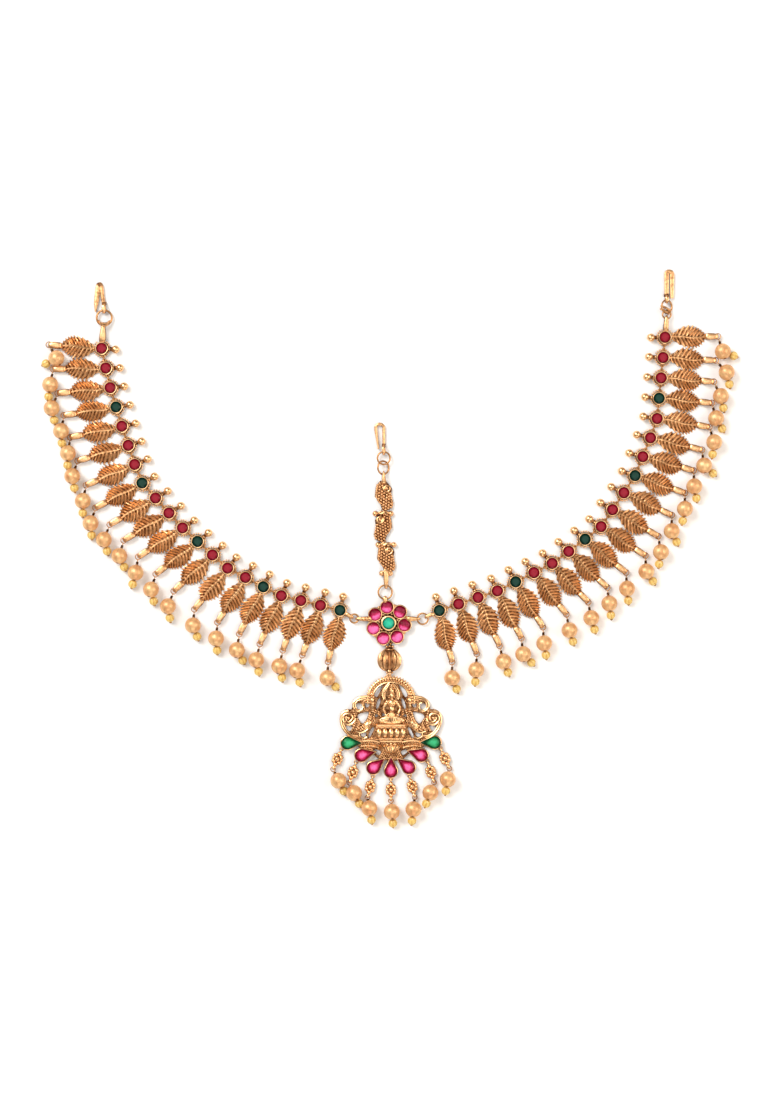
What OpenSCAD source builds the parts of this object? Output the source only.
// Matha patti: a hair ornament of two side strings of leaf drops, a short centre chain,
// a flower of set stones, a ribbed bud and a pierced plaque with seven drops.
// It lies on its back. Millimetres; x to the right, y towards the crown of the head,
// z away from the resting surface. The origin is under the flower's middle stone.

/* [Strings] */
// Links on each side string
link_count = 20; // [12:1:22]
// Mean radius of a jump ring between two heads
link_ring_radius = 0.8; // [0.7:0.05:0.95]
// Wire radius of a jump ring
link_ring_wire = 0.21; // [0.15:0.01:0.26]
// Distance of a lug's hole from the head's middle
lug_reach = 2.72; // [2.6:0.02:2.8]

/* [Leaf link] */
// Radius of a head's bezel cup
head_radius = 2.15; // [1.8:0.05:2.3]
// Height of a head's bezel cup
head_height = 2; // [1.4:0.1:2.6]
// Radius of a round stone
stone_radius = 1.75; // [1.4:0.05:1.9]
// Crest height of a leaf
leaf_crest = 1.3; // [0.9:0.1:1.8]
// Height of a leaf's edge
leaf_edge = 0.5; // [0.3:0.05:0.9]
// Height of the veins above the blade
vein_rise = 0.22; // [0.1:0.02:0.4]
// Length of the bail at a leaf's tip
bail_length = 4.9; // [4:0.1:6]
// Height of the bails
bail_height = 2.4; // [2:0.1:3]
// Wall of the bails
bail_wall = 0.5; // [0.4:0.05:0.7]

/* [Drops] */
// Radius of a pearl
pearl_radius = 2.8; // [2.2:0.1:3.2]
// Distance from a bail's end to the pearl's middle
drop_reach = 5.6; // [5.2:0.1:6.4]
// Distance from the pearl's middle to the seed bead
seed_reach = 4.3; // [3.8:0.1:5]
// Wire radius of a drop
drop_wire = 0.16; // [0.12:0.01:0.22]
// Mean radius of a drop's eye
eye_radius = 1; // [0.9:0.02:1.1]

/* [Flower] */
// Radius of the ring of petal stones
petal_ring = 5.6; // [5:0.1:6.2]
// Radius of a petal's cup
petal_radius = 2.42; // [2.1:0.02:2.6]
// Number of petals
petal_count = 7; // [5:1:9]

/* [Plaque] */
// Thickness of the pierced plate
plate_height = 1; // [0.8:0.1:1.6]
// Outer radius of the arch
arch_outer = 8.4; // [7.5:0.1:9]
// Inner radius of the arch
arch_inner = 6.3; // [5.5:0.1:6.8]
// Rim of a drop-shaped cup
cup_rim = 0.42; // [0.3:0.02:0.6]

/* [Clearance] */
// Gap left round every loose stone
stone_gap = 0.1; // [0.1:0.02:0.2]
// Gap left round a wire in its bore
bore_gap = 0.19; // [0.12:0.01:0.3]

/* [Hidden] */
// Name of the one sub-part to show, or all of them
$fn = 48;

gold = "#d19a58";
ruby = "#a81c38";
emerald = "#14604c";
pink = "#e0407f";
cream = "#e8b078";

// Route of each side string from the hook to the flower: x, y
left_route = [
    [-100.3, 96], [-97.5, 83], [-93.1, 68.4], [-86.8, 49.7],
    [-72.5, 33.7], [-56.8, 19.5], [-38.3, 9.8], [-17, 4.5]];
right_route = [
    [96.6, 99.9], [95.1, 84.5], [93.7, 70.1], [85.9, 51],
    [73.9, 33.2], [57.4, 21], [38.4, 11.4], [17.7, 4.4]];

// Each link from the hook to the flower: bearing of the leaf, of its drop, of the seed bead
left_bearings = [
    [176, 300, 205], [181, 262, 260], [186, 250, 280], [189, 262, 272], [192, 264, 266],
    [197, 252, 278], [203, 260, 268], [208, 254, 273], [210, 250, 284], [211, 256, 292],
    [213, 262, 254], [218, 254, 281], [223, 250, 278], [231, 266, 289], [238, 266, 274],
    [243, 262, 298], [246, 258, 280], [250, 258, 282], [250, 252, 281], [257, 268, 312]];
right_bearings = [
    [1, 286, 340], [-3, 310, 285], [-4, 294, 284], [-5, 284, 302], [-9, 286, 264],
    [-13, 276, 320], [-15, 270, 282], [-19, 268, 261], [-25, 268, 296], [-30, 278, 263],
    [-33, 272, 305], [-39, 272, 277], [-43, 276, 279], [-47, 280, 287], [-52, 280, 288],
    [-59, 274, 279], [-63, 276, 314], [-66, 284, 292], [-70, 268, 266], [-76, 270, 292]];

// Teeth along a leaf: distance from the head's middle, half width
leaf_teeth = [
    [3.5, 1.6], [5.3, 2.45], [7.1, 3.05], [8.9, 3.25], [10.7, 2.95], [12.5, 1.95]];
leaf_neck = [1.98, 0.7];
leaf_tip = [14.4, 0.45];

eye_at = 13.85 + bail_length - bail_wall / 2;
ball_at = 5.2;
ball_radius = 1.35;
ring_height = link_ring_radius + link_ring_wire + 0.11;
seat_floor = 0.9;
stone_base = seat_floor + stone_gap;
eye_height = bail_height / 2;
loop_height = 1.2;

function leg(r, i) = norm(r[i + 1] - r[i]);
function path(r, i = 0) = i >= len(r) - 1 ? 0 : leg(r, i) + path(r, i + 1);
function along(r, s, i = 0) =
    (s <= leg(r, i) || i == len(r) - 2)
        ? r[i] + (r[i + 1] - r[i]) * s / leg(r, i)
        : along(r, s - leg(r, i), i + 1);
function heads(r) =
    [for (k = [0:link_count - 1]) along(r, path(r) * k / (link_count - 1))];
function bearing(a, b) = atan2(b[1] - a[1], b[0] - a[0]);
function polar(a, d) = [d * cos(a), d * sin(a)];

left_heads = heads(left_route);
right_heads = heads(right_route);

// Rows of the end rings: x, y, height, mean radius, wire radius, tilt about y
left_hook_ring_at = [-99.4, 106.7, 1.2, 2.65, 0.35, 0];
right_hook_ring_at = [97.2, 110.6, 1.66, 2.3, 0.28, 36];
right_knot_ring_at = [97.2, 107.8, 1.62, 1.45, 0.26, 0];
centre_ring_upper_at = [-1.7, 57.65, 1.6, 2.2, 0.3, 0];
centre_ring_lower_at = [-1.85, 54.3, 1.65, 2.3, 0.3, 35];
chain_lower_ring_at = [-1.2, 10.8, 1.2, 2.4, 0.3, 0];
flower_ring_left_at = [-12, 1.6, 1.2, 1.5, 0.3, 0];
flower_ring_right_at = [11.9, 1.5, 1.2, 1.9, 0.3, 0];

// Chain castings from the top: x of the eye, y of the eye, lean
chain_rows = [[-1.7, 46.4, 4], [-1.9, 35.5, -3], [-0.9, 24.6, 4]];
chain_lug = 7;

// The plaque's origin is the middle of its arch
plaque_at = [0.8, -27.2];

// Drop-shaped cups from the left: x, y, bearing of the round end
cup_rows = [
    [-13.9, -14.7, 180], [-9.1, -18.7, 194], [-5.2, -22.6, 219], [0, -23.3, 270],
    [5.3, -22.5, 322], [9.5, -18.6, 341], [14, -14.5, 0]];
cup_length = 6.5;
cup_width = 4;

// Granule drops on the plaque's lugs: x, y, bearing, then the pearl's reach and bearing
granule_rows = [
    [-17.2, -16.8, 247, 4.3, 296], [-12.1, -21.3, 252, 3.8, 295], [-6.3, -26.3, 256, 3.7, 280],
    [0, -27.2, 270, 3.7, 275], [6.5, -26.2, 284, 4.1, 263], [12.8, -21.1, 287, 3.7, 250],
    [17.3, -16.6, 294, 3.7, 261]];
granule_length = 7.7;
granule_eye = 0.83;

// A closed ring: mean radius, wire radius
module ring(mean, wire) {
    rotate_extrude() translate([mean, 0]) circle(r = wire, $fn = 24);
}

// A ring from a row of the table
module ring_row(r) {
    translate([r[0], r[1], r[2]]) rotate([0, r[5], 0]) ring(r[3], r[4]);
}

// Side view of a bail with rounded corners: length, height
module bail_side(l, h) {
    c = 0.46 * min(l, h);
    polygon([
        for (a = [-90:45:0]) [l - c + c * cos(a), c + c * sin(a)],
        for (a = [0:45:90]) [l - c + c * cos(a), h - c + c * sin(a)],
        for (a = [90:45:180]) [c + c * cos(a), h - c + c * sin(a)],
        for (a = [180:45:270]) [c + c * cos(a), c + c * sin(a)]]);
}

// An edge-on bail along x, open sideways, from x = 0
module bail(l, h, wall, w0, w1) {
    intersection() {
        difference() {
            translate([0, w0, 0]) rotate([90, 0, 0]) linear_extrude(2 * w0) bail_side(l, h);
            translate([wall, 2 * w0, wall]) rotate([90, 0, 0])
                linear_extrude(4 * w0) bail_side(l - 2 * wall, h - 2 * wall);
        }
        translate([0, 0, -1]) linear_extrude(h + 2)
            polygon([[-1, -w0 / 2], [l + 1, -w1 / 2], [l + 1, w1 / 2], [-1, w0 / 2]]);
    }
}

function tooth_side(s) = [
    for (i = [0:len(leaf_teeth) - 1])
        let (t = leaf_teeth[i],
             n = i < len(leaf_teeth) - 1 ? leaf_teeth[i + 1][1] : leaf_tip[1] + 0.5)
        each [[t[0], s * t[1]], [t[0] + 0.12, s * (min(t[1], n) - 0.3)]]];
function back(v) = [for (i = [len(v) - 1:-1:0]) v[i]];

// Plan of a leaf blade
module leaf_plan() {
    polygon(concat(
        [[leaf_neck[0], -leaf_neck[1]]], tooth_side(-1), [[leaf_tip[0], -leaf_tip[1]]],
        [[leaf_tip[0], leaf_tip[1]]], back(tooth_side(1)), [[leaf_neck[0], leaf_neck[1]]]));
}

function vein_side(s) = [
    for (t = leaf_teeth)
        each [[t[0] - 1.45, s * 0.25], [t[0] - 0.5, s * (t[1] - 0.35)],
              [t[0] - 0.1, s * (t[1] - 0.35)], [t[0] - 1, s * 0.25]]];

// Plan of a leaf's midrib and veins
module vein_plan() {
    polygon(concat(
        vein_side(-1), [[leaf_tip[0] - 0.2, 0]], back(vein_side(1))));
}

// Ridged back that trims a leaf
module leaf_back(rise) {
    rotate([90, 0, 90]) linear_extrude(16) polygon([
        [-3.6, -1], [3.6, -1], [3.6, leaf_edge + rise],
        [0, leaf_crest + rise], [-3.6, leaf_edge + rise]]);
}

// A leaf with raised veins
module leaf() {
    intersection() {
        linear_extrude(3) leaf_plan();
        leaf_back(0);
    }
    intersection() {
        translate([0, 0, 0.2]) linear_extrude(3) vein_plan();
        leaf_back(vein_rise);
    }
}

// Bezel cup with a foot: cup radius, height, seat radius
module cup(radius, height, seat) {
    difference() {
        union() {
            cylinder(r = radius, h = height);
            cylinder(r = radius + 0.22, h = 0.8);
        }
        translate([0, 0, seat_floor]) cylinder(r = seat, h = height);
    }
}

// A lug with its hole, reaching along x
module lug() {
    difference() {
        union() {
            translate([lug_reach, 0, ring_height - 0.2]) cylinder(r = 0.7, h = 0.4);
            translate([head_radius - 0.3, -0.5, ring_height - 0.2])
                cube([lug_reach - head_radius + 0.3, 1, 0.4]);
        }
        translate([lug_reach, 0, 0]) cylinder(r = link_ring_wire + 0.17, h = 3);
    }
}

// One casting: leaf bearing
module link_body(b) {
    cup(head_radius, head_height, stone_radius + stone_gap);
    rotate([0, 0, b]) {
        leaf();
        translate([13.85, 0, 0]) bail(bail_length, bail_height, bail_wall, 1.7, 1.2);
        translate([-2, 0, 0.95]) rotate([0, -90, 0]) cylinder(r = 0.45, h = 2.2);
        translate([-ball_at, 0, ball_radius]) sphere(r = ball_radius);
    }
}

// All castings of a side: heads, bearings, end bail length, flower ring
module leaf_links(h, b, end_length, end_bearing, end_width, end_height, flower) {
    for (k = [0:link_count - 1]) translate([h[k][0], h[k][1], 0]) {
        link_body(b[k][0]);
        if (k > 0) rotate([0, 0, bearing(h[k], h[k - 1])]) lug();
        if (k < link_count - 1) rotate([0, 0, bearing(h[k], h[k + 1])]) lug();
        if (k == 0) rotate([0, 0, end_bearing])
            translate([head_radius - 0.2, 0, 0])
                bail(end_length, end_height, bail_wall, end_width, 0.9);
        if (k == link_count - 1)
            rotate([0, 0, bearing(h[k], [flower[0], flower[1]])])
                translate([head_radius - 0.2, 0, 0])
                    bail(norm([flower[0], flower[1]] - h[k]) - flower[3] + flower[4] + 0.85
                         - head_radius + 0.2, bail_height, bail_wall, 1.4, 1.1);
    }
}

// Jump rings of a side
module link_rings(h) {
    for (k = [0:link_count - 2])
        translate([(h[k][0] + h[k + 1][0]) / 2, (h[k][1] + h[k + 1][1]) / 2, ring_height])
            rotate([0, 0, bearing(h[k], h[k + 1])]) rotate([90, 0, 0])
                ring(norm(h[k + 1] - h[k]) / 2 - lug_reach, link_ring_wire);
}

// A round cut stone: radius
module round_stone(r) {
    cylinder(r = r, h = 0.8, $fn = 12);
    translate([0, 0, 0.8]) cylinder(r1 = r, r2 = r * 0.62, h = 0.6, $fn = 12);
}

// Every fourth stone is green, the others red
module string_stones(h, green) {
    for (k = [0:link_count - 1])
        if ((k % 4 == 3) == green)
            translate([h[k][0], h[k][1], stone_base]) round_stone(stone_radius);
}

// Where a pearl lies
function pearl_xy(h, b) = h + polar(b[0], eye_at) + polar(b[1], drop_reach);

// Slope of the pin from an eye up to a pearl's middle, and down again to the seed bead
function pin_up(reach, eye) = atan2(pearl_radius - eye_height, reach - eye);
pin_down = atan2(pearl_radius - 1.5, seed_reach);

// A pearl, drilled from both sides to its middle: drop bearing, reach, eye
module pearl(b, reach, eye, seed) {
    bore = drop_wire + bore_gap;
    translate([0, 0, pearl_radius]) rotate([0, 0, b]) difference() {
        rotate([0, 0, 90]) sphere(r = pearl_radius, $fn = 72);
        rotate([0, -90 - pin_up(reach, eye), 0]) translate([0, 0, 0.3]) cylinder(r = bore, h = 4);
        rotate([0, 0, seed - b]) rotate([0, 90 + pin_down, 0]) translate([0, 0, 0.3])
            cylinder(r = bore, h = 4);
        rotate([0, 0, 90]) sphere(r = bore + 0.17);
    }
}

module string_pearls(h, b) {
    for (k = [0:link_count - 1])
        translate([pearl_xy(h[k], b[k])[0], pearl_xy(h[k], b[k])[1], 0])
            pearl(b[k][1], drop_reach, eye_radius, b[k][2]);
}

// Eye, pin, wrap and end ball of a drop: bearing, reach, eye, bearing of the seed bead;
// the eye's middle is at the origin
module drop(b, reach, eye, seed) {
    up = pin_up(reach, eye);
    slope = norm([reach - eye, pearl_radius - eye_height]);
    ring(eye, drop_wire);
    rotate([0, 0, b]) {
        translate([eye, 0, 0]) rotate([0, 90 - up, 0]) {
            cylinder(r = drop_wire, h = slope);
            if (reach > 5) translate([0, 0, slope - pearl_radius - 1.15])
                cylinder(r = 0.36, h = 1);
        }
        translate([reach, 0, pearl_radius - eye_height]) {
            rotate([0, 0, seed > b ? -90 : 90]) sphere(r = drop_wire + 0.04);
            rotate([0, 0, seed - b]) rotate([0, 90 + pin_down, 0]) {
                cylinder(r = drop_wire, h = seed_reach + 1.6);
                translate([0, 0, seed_reach + 1.7]) sphere(r = 0.34);
            }
        }
    }
}

module drop_wires(h, b) {
    for (k = [0:link_count - 1])
        translate([h[k][0] + polar(b[k][0], eye_at)[0], h[k][1] + polar(b[k][0], eye_at)[1], eye_height])
            drop(b[k][1], drop_reach, eye_radius, b[k][2]);
}

// A flattened hair hook: bend middle, bend radius, strip width, free end, eye end, eye bail
module hook(c, r, w, free_x, free_y, stem_y, loop_y, loop_end, loop_w, loop_h) {
    side = free_x > c[0] ? 1 : -1;
    color(gold) {
        translate([c[0], c[1], 0.3]) difference() {
            cylinder(r = r + w / 2, h = 0.9);
            translate([0, 0, -1]) cylinder(r = r - w / 2, h = 3);
            translate([-5, -10, -1]) cube([10, 10, 3]);
        }
        translate([c[0] + side * r - w / 2, free_y, 0.3]) cube([w, c[1] - free_y + 0.01, 0.9]);
        translate([c[0] + side * r, free_y, 0.3]) cylinder(r = w / 2, h = 0.9);
        translate([c[0] - side * r - w / 2, stem_y, 0.3]) cube([w, c[1] - stem_y + 0.01, 0.9]);
        translate([c[0] - side * r, loop_y, 0]) rotate([0, 0, -90])
            bail(loop_y - loop_end, loop_h, bail_wall, loop_w, loop_w);
    }
}

// A granule, its seam turned away from its neighbours
module granule(r) {
    rotate([0, 0, 75]) sphere(r = r);
}

// A granulated chain casting like a curled bird; its spiral is at the origin
module peacock() {
    difference() {
        union() {
            cylinder(r = 2.5, h = 1.1);
            linear_extrude(1.1) polygon([
                [-2.2, 1.1], [-2.9, -1.2], [-2.7, -3], [-1.9, -4.5], [-0.7, -5.6],
                [0.7, -5.7], [2.1, -4.6], [2.9, -3], [2.8, -1], [2.2, 1.1]]);
            difference() {
                cylinder(r = 1.9, h = 1.7);
                translate([0, 0, 0.9]) cylinder(r = 1.35, h = 2);
            }
            cylinder(r = 0.75, h = 1.9);
            for (t = [[-1.7, -2.9, 18], [-0.6, -3.6, 8], [0.6, -3.6, -8], [1.7, -2.9, -20]])
                translate([t[0], t[1], 0.9]) rotate([0, 0, t[2]]) translate([-0.25, -1.3, 0])
                    cube([0.5, 2.6, 0.8]);
            for (g = [[-2.7, 0.5], [-2.7, -1.4], [-2.4, -3.3], [-1.5, -4.8], [-1.3, 2.3],
                      [1.3, 2.3], [2.7, 0.5], [2.7, -1.4], [2.5, -3.3], [1.5, -4.8]])
                translate([g[0], g[1], 1]) granule(0.6);
        }
        for (g = [[-1.15, -2.15], [1.15, -2.15]])
            translate([g[0], g[1], -1]) cylinder(r = 0.4, h = 5);
    }
}

// Casting of the chain with its bail above and a lug or a long bail below
module peacock_link(i, up, up_height, up_width, down) {
    r = chain_rows[i];
    color(gold) translate([r[0], r[1], 0]) {
        rotate([0, 0, r[2]]) peacock();
        if (i > 0) for (s = [-1, 1]) translate([s * 2.5, 2.35, 1.04]) granule(1);
        if (down == 0) difference() {
            union() {
                translate([0, -chain_lug, 0.95]) cylinder(r = 0.86, h = 0.45);
                translate([-0.6, -chain_lug, 0.95]) cube([1.2, chain_lug - 5, 0.45]);
            }
            translate([0, -chain_lug, 0]) cylinder(r = 0.54, h = 3);
        }
        if (down > 0) {
            translate([0, -5.2, 0]) rotate([0, 0, -90]) bail(down, bail_height, bail_wall, 1.8, 1.3);
            for (s = [-1, 1]) translate([s * 1.45, -7.2, 1.04]) granule(1);
        }
        translate([i > 0 ? chain_rows[i - 1][0] - r[0] : 0, 2.1, 0]) rotate([0, 0, 90])
            bail(up, up_height, bail_wall, up_width, 0.5);
    }
}

// Plan of a drop shape grown by g, its tip towards -x
function drop_points(g) = concat(
    [[-cup_length / 2 - 2.3 * g, 0]],
    [for (a = [-117:26:117]) [
        (cup_length - cup_width) / 2 + (cup_width / 2 + g) * cos(a),
        (cup_width / 2 + g) * sin(a)]]);

module drop_plan(g) { polygon(drop_points(g)); }

// A drop-shaped cut stone in its cup
module drop_stone(i) {
    c = cup_rows[i];
    translate([plaque_at[0] + c[0], plaque_at[1] + c[1], stone_base]) rotate([0, 0, c[2]]) {
        linear_extrude(0.8) drop_plan(0);
        translate([0.35, 0, 0.8]) linear_extrude(0.6, scale = 0.6)
            translate([-0.35, 0]) drop_plan(0);
    }
}

// The bezel of a drop-shaped stone
module drop_cup(c) {
    translate([c[0], c[1], 0]) rotate([0, 0, c[2]]) linear_extrude(head_height)
        drop_plan(stone_gap + cup_rim);
}

module drop_seat(c) {
    translate([c[0], c[1], seat_floor]) rotate([0, 0, c[2]]) linear_extrude(3)
        drop_plan(stone_gap);
}

// Right half of the plaque's plate, from the crown of the arch to the middle cup
plate_half = [
    [0, 8.3], [2.9, 7.8], [5.6, 6.2], [7.6, 3.6], [8.5, 1.6], [10.4, 1], [12.3, 0],
    [13.3, -1.6], [13.6, -3.1], [15.5, -3], [17.2, -4.2], [17.7, -6.2], [17.3, -8.6],
    [16.2, -10.6], [14.8, -12.2], [12, -13.2], [11.6, -16], [8.6, -17.4], [6, -18.4],
    [4.4, -20.2], [2.2, -20.8], [0, -20.8]];

// Pierced gaps of the right half, each a short outline
gap_rows = [
    [[2.7, 5.7], [4.4, 4.9], [5.7, 3.2], [5.5, 1.7], [4.6, 1.7], [3.6, 3.7]],
    [[3.7, 0.9], [4.6, 0.2], [5.2, -1.8], [4.7, -2.9], [3.8, -0.9]],
    [[2.1, -4.1], [2.9, -4.3], [3.1, -5.5], [2.1, -5.5]],
    [[7.9, -4], [11, -4.7], [11.5, -5.8], [9.9, -7.8], [8.7, -6.4]],
    [[7.7, -0.3], [9, -1], [8.7, -2.4], [7.6, -1.9]],
    [[5.8, -9.8], [6.7, -9.4], [8, -12.2], [7.3, -12.8]],
    [[3.5, -17.6], [5.4, -16.9], [6, -17.7], [4.2, -19.1]]];
// Round gaps of the right half: x, y, radius
eyelet_rows = [[11.2, -1.9, 0.85], [14.5, -9.1, 0.8], [9.6, -11.6, 0.85], [5.1, -5.2, 0.4]];

// Both halves of the plate in one outline
module plaque_plan() {
    polygon(concat(plate_half,
        [for (i = [len(plate_half) - 2:-1:1]) [-plate_half[i][0], plate_half[i][1]]]));
}

// A raised scroll: x, y, outer radius, thickness, height
module scroll(x, y, r, t, h) {
    translate([x, y, 0]) difference() {
        cylinder(r = r, h = h);
        translate([0, 0, plate_height - 0.1]) cylinder(r = r - t, h = h);
    }
}

// A rod in relief from a to b: radius at each end, height of its axis
module rod(a, b, r1, r2, z) {
    translate([a[0], a[1], z]) rotate([0, 0, bearing(a, b)]) rotate([0, 90, 0])
        cylinder(r1 = r1, r2 = r2, h = norm(b - a));
}

// The small seated figure in relief
module figure() {
    translate([0.3, 1.9, 1.75]) sphere(r = 1.15);
    rod([0.3, 2.7], [0.3, 5.5], 1.15, 0.35, 1.45);
    rod([0.3, 0.9], [0.3, -5.4], 1.5, 1.1, 1);
    for (s = [-1, 1]) {
        translate([0.3 + s * 1.75, -0.4, 1.4]) sphere(r = 0.75);
        rod([0.3 + s * 1.75, -0.4], [0.3 + s * 3.3, -2.9], 0.65, 0.5, 1.3);
        rod([0.3 + s * 3.3, -2.9], [0.3 + s * 2.3, -4.6], 0.5, 0.4, 1.5);
        rod([0.3, -5.9], [0.3 + s * 4.1, -6.8], 1.15, 0.9, 1.3);
        translate([0.3 + s * 4.1, -6.8, 1.3]) sphere(r = 0.98);
    }
    translate([-1.9, -7.9, 0]) cube([4.4, 2.4, 1.9]);
}

// The pierced plaque with its seven cups
module plaque() {
    color(gold) translate([plaque_at[0], plaque_at[1], 0]) difference() {
        union() {
            linear_extrude(plate_height) plaque_plan();
            difference() {
                cylinder(r = arch_outer, h = 1.6);
                translate([0, 0, -1]) cylinder(r = arch_inner, h = 4);
                translate([-10, -21.5, -1]) cube([20, 20, 4]);
            }
            for (a = [-4:13.43:184]) translate([polar(a, 7.35)[0], polar(a, 7.35)[1], 1.5])
                granule(0.82);
            for (s = [-1, 1]) {
                translate([s * 6.5 - 0.75, -3.6, 0]) cube([1.5, 4.8, 2]);
                for (y = [-3.5, -1.2, 1]) translate([s * 6.5 - 1, y - 0.3, 0]) cube([2, 0.6, 2.2]);
                scroll(s * 14.9, -6, 2.6, 0.7, 2);
                scroll(s * 14.9, -6, 1.2, 0.5, 2.2);
                scroll(s * 11.2, -1.9, 1.75, 0.5, 1.8);
                for (g = [[9.6, 0.4], [12.9, -3.9], [12.2, -6.6], [12.6, -8.6], [11.2, -9.9],
                          [7.6, -8], [8.6, -9.4], [6.9, -5.9], [16.7, -9.4], [15.3, -11.2],
                          [12.8, -11.8], [11.3, -13.2], [4.6, -14.6], [6.2, -14.3], [7.8, -14.6],
                          [9.3, -15.2], [3, -15.3]])
                    translate([s * g[0], g[1], 1]) granule(0.66);
            }
            figure();
            translate([-4.9, -9.5, 0]) cube([9.8, 1.6, 1.9]);
            for (x = [-4.2:2.1:4.2]) rod([x, -9.6], [x, -12.9], 1.16, 1, 1.1);
            translate([-3.6, -14.2, 0]) cube([7.2, 1.5, 1.7]);
            for (t = [[-1.9, -16.6, 30], [0, -17, 0], [1.9, -16.6, -30]])
                translate([t[0], t[1], 0]) rotate([0, 0, t[2]]) rod([0, -1.5], [0, 1.9], 1, 0.4, 1.1);
            for (c = cup_rows) drop_cup(c);
            for (g = granule_rows) translate([g[0], g[1], 0.95]) {
                cylinder(r = 0.8, h = 0.45);
            }
            translate([-0.9, 8.55, 0.95]) cylinder(r = 0.9, h = 0.45);
            translate([-1.4, 7.6, 0.95]) cube([1, 1, 0.45]);
        }
        for (c = cup_rows) drop_seat(c);
        for (g = granule_rows) translate([g[0], g[1], -1]) cylinder(r = 0.43, h = 6);
        translate([-0.9, 8.55, -1]) cylinder(r = 0.52, h = 6);
        for (s = [-1, 1]) {
            for (g = gap_rows) translate([0, 0, -1]) linear_extrude(6)
                polygon([for (p = g) [s * p[0], p[1]]]);
            for (e = eyelet_rows) translate([s * e[0], e[1], -1]) cylinder(r = e[2], h = 6);
        }
        translate([-30, -40, -5]) cube([60, 60, 5]);
    }
}

// A cluster of granules between two bails
module granule_drop(i) {
    g = granule_rows[i];
    color(gold) translate([plaque_at[0] + g[0], plaque_at[1] + g[1], 0]) rotate([0, 0, g[2]]) {
        translate([1.4, 0, 0]) rotate([0, 0, 180]) bail(1.6, 2.3, 0.4, 0.55, 0.5);
        for (p = [[1.95, 0, 1.1, 0.85], [2.9, 0.95, 0.85, 0.8], [2.9, -0.95, 0.85, 0.8],
                  [3.85, 0, 1.6, 0.85], [4.8, 0.95, 0.85, 0.8], [4.8, -0.95, 0.85, 0.8],
                  [5.75, 0, 1.1, 0.85]])
            translate([p[0], p[1], p[2]]) sphere(r = p[3]);
        translate([1.6, -0.5, 0.3]) cube([4.6, 1, 0.8]);
        translate([6.2, 0, 0]) bail(granule_length + 0.2 - 6.2, 2.3, 0.4, 0.9, 0.8);
    }
}

function granule_eye_xy(g) = plaque_at + [g[0], g[1]] + polar(g[2], granule_length);

module pendant_pearl(i) {
    g = granule_rows[i];
    p = granule_eye_xy(g) + polar(g[4], g[3]);
    color(cream) translate([p[0], p[1], 0]) pearl(g[4], g[3], granule_eye, g[4]);
}

module pendant_wires() {
    color(gold) for (g = granule_rows)
        translate([granule_eye_xy(g)[0], granule_eye_xy(g)[1], eye_height])
            drop(g[4], g[3], granule_eye, g[4]);
}

petal_start = 96;

// Plate, cups and bails of the flower
module flower() {
    color(gold) difference() {
        union() {
            cylinder(r = petal_ring + 0.6, h = 1.1);
            cylinder(r = 2.6, h = 2.8);
            for (k = [0:petal_count - 1]) rotate([0, 0, petal_start + k * 360 / petal_count]) {
                translate([petal_ring, 0, 0]) cylinder(r = petal_radius, h = 2.2);
                if (k != 3) rotate([0, 0, 180 / petal_count])
                    translate([petal_ring + 0.75, 0, 1.2]) sphere(r = 0.62);
                rotate([0, 0, 180 / petal_count]) translate([3.3, 0, 1.5]) sphere(r = 0.5);
            }
            translate([-5.6, 1.5, 0]) rotate([0, 0, 180])
                bail(flower_side(flower_ring_left_at, 5.6), bail_height, bail_wall, 1.9, 0.9);
            translate([6, 1.5, 0])
                bail(flower_side(flower_ring_right_at, 6), bail_height, bail_wall, 1.9, 0.9);
            translate([chain_lower_ring_at[0], 6.9, 0]) rotate([0, 0, 90])
                bail(2.65, bail_height, bail_wall, 1.5, 1.1);
            translate([0.65, 0, 0]) rotate([0, 0, -90]) flat_lug(6.7, 4.8);
        }
        for (k = [0:petal_count - 1]) rotate([0, 0, petal_start + k * 360 / petal_count])
            translate([petal_ring, 0, seat_floor]) cylinder(r = 2, h = 3);
        translate([0, 0, 1.5]) cylinder(r = 2.1, h = 3);
    }
}
function flower_side(r, start) = abs(r[0]) - r[3] + r[4] + 0.85 - start;

// A thin lug along x from s, its hole at d
module flat_lug(d, s) {
    difference() {
        union() {
            translate([d, 0, ring_height - 0.2]) cylinder(r = 0.7, h = 0.4);
            translate([s, -0.5, ring_height - 0.2]) cube([d - s, 1, 0.4]);
        }
        translate([d, 0, 0]) cylinder(r = link_ring_wire + 0.17, h = 3);
    }
}

module flower_rubies() {
    color(pink) for (k = [0:petal_count - 1])
        rotate([0, 0, petal_start + k * 360 / petal_count])
            translate([petal_ring, 0, stone_base]) round_stone(1.9);
}

module flower_emerald() {
    color(emerald) translate([0, 0, 1.6]) round_stone(2);
}

bud_at = [0.3, -12.8];

// An arc of a ring about the crest of a bud: mean radius, wire radius, half angle
module rib(mean, wire, half) {
    rotate([0, 0, 180 - half]) rotate_extrude(angle = 2 * half)
        translate([mean, 0]) circle(r = wire, $fn = 24);
}

// Ribbed bud, flat on its back, with a lug above and a bail below
module bud() {
    color(gold) translate([bud_at[0], bud_at[1], 0]) {
        difference() {
            union() {
                sphere(r = 3.35);
                for (a = [-72:36:72]) rotate([0, a, 0]) rotate([0, 90, 0]) rib(3.7, 0.55, 52);
                rod([0, 2.5], [0, 3.8], 2.4, 1.3, 0);
                rod([0, -2.5], [0, -4.4], 2.4, 0.8, 0);
            }
            translate([-6, -6, -6]) cube([12, 12, 6]);
        }
        translate([0.35, 0, 0]) rotate([0, 0, 90]) flat_lug(bud_lug, 3.4);
        translate([-0.4, -3.6, 0]) rotate([0, 0, -90]) bail(bud_bail - 3.6, 2.3, 0.4, 0.9, 0.5);
    }
}
bud_lug = 4.5;
bud_bail = 6.05;

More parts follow.
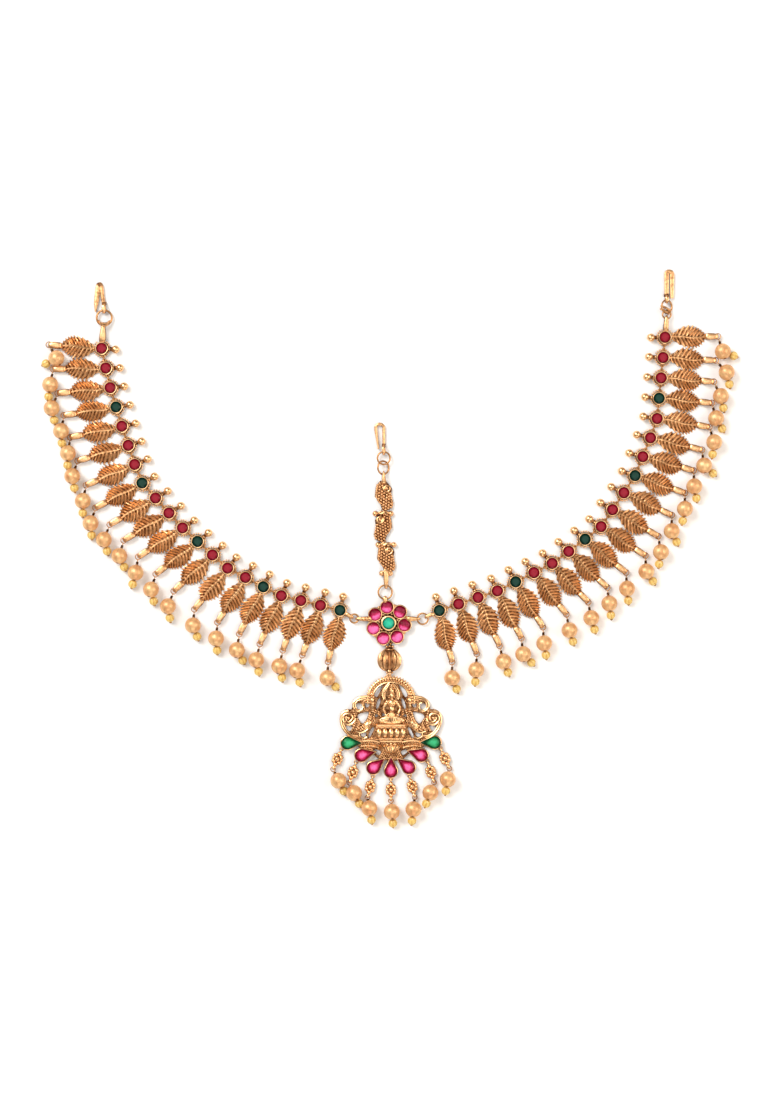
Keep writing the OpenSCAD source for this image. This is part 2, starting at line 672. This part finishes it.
// Ring between the flower and the bud
module bud_ring() {
    y0 = bud_at[1] + bud_lug;
    y1 = -6.7;
    color(gold) translate([0.65, (y0 + y1) / 2, ring_height]) rotate([0, 90, 0])
        ring((y1 - y0) / 2, link_ring_wire);
}

left_flower_ring = flower_ring_left_at;
right_flower_ring = flower_ring_right_at;

color(gold) leaf_links(left_heads, left_bearings, 7.25, 85.5, 2.5, bail_height, left_flower_ring);  // left_leaf_links
color(gold) leaf_links(right_heads, right_bearings, 5.8, 85.4, 1.9, 2.8, right_flower_ring);  // right_leaf_links
color(gold) link_rings(left_heads);  // left_link_rings
color(gold) link_rings(right_heads);  // right_link_rings
color(ruby) string_stones(left_heads, false);  // left_ruby_stones
color(emerald) string_stones(left_heads, true);  // left_emerald_stones
color(ruby) string_stones(right_heads, false);  // right_ruby_stones
color(emerald) string_stones(right_heads, true);  // right_emerald_stones
color(cream) string_pearls(left_heads, left_bearings);  // left_pearls
color(cream) string_pearls(right_heads, right_bearings);  // right_pearls
color(gold) drop_wires(left_heads, left_bearings);  // left_drop_wires
color(gold) drop_wires(right_heads, right_bearings);  // right_drop_wires
hook([-101, 116.9], 1.5, 1.4, -103, 108.9, 111.1, 111.6, 108.25, 1.3, 2.4);  // left_hook
hook([98.15, 121.95], 0.95, 1.2, 99.1, 114.2, 114, 114.5, 111.7, 1, 3.1);  // right_hook
hook([-3.1, 68.2], 1.4, 1.4, -4.5, 60.5, 61.6, 62.1, 58.75, 1.1, 3);  // centre_hook
color(gold) ring_row(left_hook_ring_at);  // left_hook_ring
color(gold) ring_row(right_hook_ring_at);  // right_hook_ring
color(gold) ring_row(right_knot_ring_at);  // right_knot_ring
color(gold) ring_row(centre_ring_upper_at);  // centre_ring_upper
color(gold) ring_row(centre_ring_lower_at);  // centre_ring_lower
peacock_link(0, 4.75, 3.1, 1.6, 0);  // peacock_link_top
peacock_link(1, 2.05, 2.3, 0.6, 0);  // peacock_link_middle
peacock_link(2, 2.05, 2.3, 0.6, 7.4);  // peacock_link_bottom
color(gold) ring_row(chain_lower_ring_at);  // chain_lower_ring
flower();
color(gold) ring_row(flower_ring_left_at);  // flower_ring_left
color(gold) ring_row(flower_ring_right_at);  // flower_ring_right
flower_rubies();
flower_emerald();
bud();
bud_ring();
plaque();
color(emerald) drop_stone(0);  // drop_stone_1
color(pink) drop_stone(1);  // drop_stone_2
color(pink) drop_stone(2);  // drop_stone_3
color(pink) drop_stone(3);  // drop_stone_4
color(pink) drop_stone(4);  // drop_stone_5
color(pink) drop_stone(5);  // drop_stone_6
color(emerald) drop_stone(6);  // drop_stone_7
granule_drop(0);  // granule_drop_1
granule_drop(1);  // granule_drop_2
granule_drop(2);  // granule_drop_3
granule_drop(3);  // granule_drop_4
granule_drop(4);  // granule_drop_5
granule_drop(5);  // granule_drop_6
granule_drop(6);  // granule_drop_7
pendant_pearl(0);  // pendant_pearl_1
pendant_pearl(1);  // pendant_pearl_2
pendant_pearl(2);  // pendant_pearl_3
pendant_pearl(3);  // pendant_pearl_4
pendant_pearl(4);  // pendant_pearl_5
pendant_pearl(5);  // pendant_pearl_6
pendant_pearl(6);  // pendant_pearl_7
pendant_wires();
